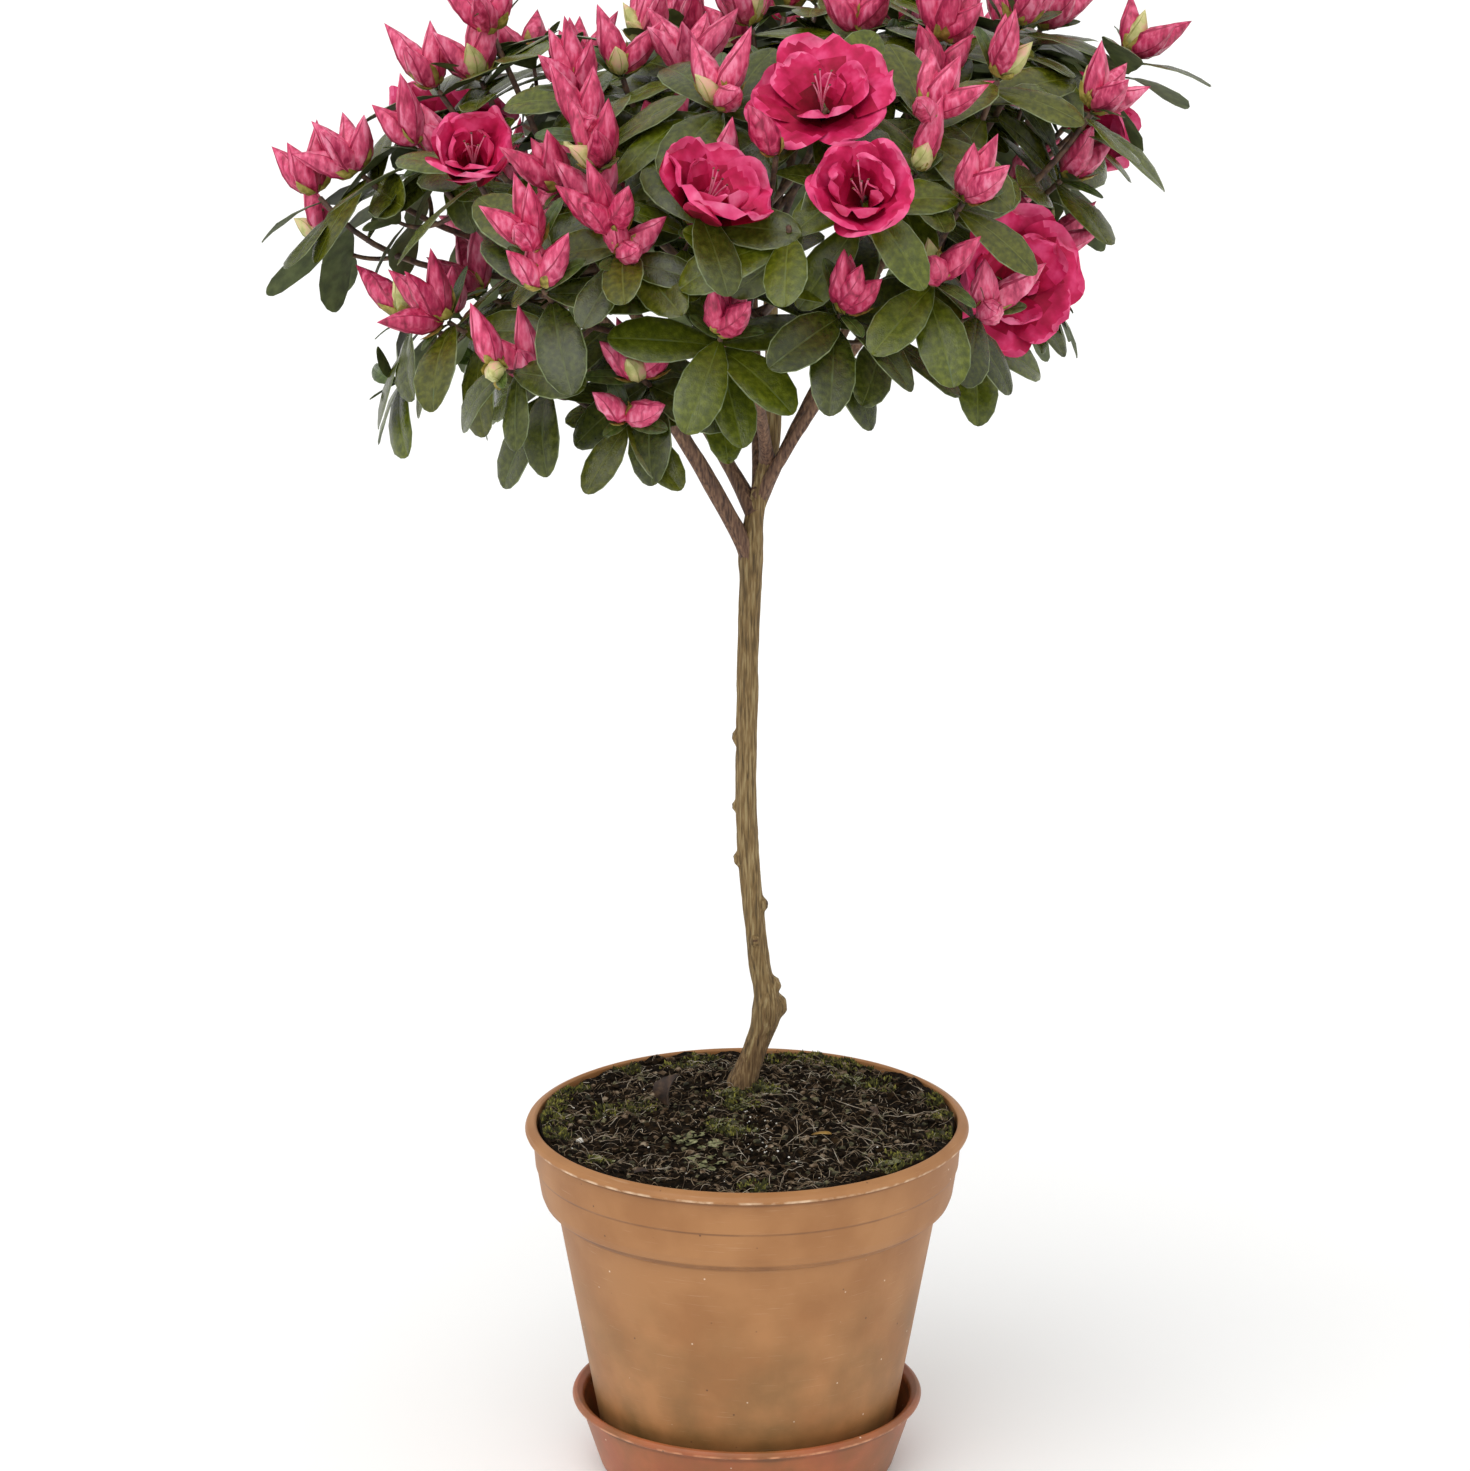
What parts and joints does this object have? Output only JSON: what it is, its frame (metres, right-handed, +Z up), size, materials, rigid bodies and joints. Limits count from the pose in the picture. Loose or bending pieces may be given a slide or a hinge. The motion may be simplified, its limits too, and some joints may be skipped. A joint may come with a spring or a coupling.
{
  "type": "azalea shrub",
  "caption": "Flowering azalea trained on one bare stem, with a broad flat-topped head of leaf whorls, buds and open blooms, in a plastic pot standing in its saucer.",
  "frame": {"origin": "centre of the saucer's flat underside, on the floor", "axes": "+Z up along the pot's axis, -Y towards the picture's viewer, +X to the viewer's right"},
  "size_m": [0.3728, 0.3712, 0.6526],
  "materials": {
    "pot": "worn matte, terracotta colour",
    "saucer": "satin, redder terracotta colour",
    "potting_mix": "moist dark peat with fibres and moss",
    "bark": "fine fibrous bark",
    "foliage": "dark green leaves with pink buds and blooms"
  },
  "bodies": {
    "root": {"pot": "pot", "saucer": "saucer", "potting_mix": "potting_mix", "trunk": "bark", "bough_front_left": "bark", "bough_back_left": "bark", "bough_back": "bark", "bough_back_right": "bark", "bough_front_right": "bark", "bough_front": "bark", "foliage_top": "foliage", "foliage_front_left": "foliage", "foliage_back_left": "foliage", "foliage_back": "foliage", "foliage_back_right": "foliage", "foliage_front_right": "foliage", "foliage_front": "foliage"}
  },
  "joints": []
}
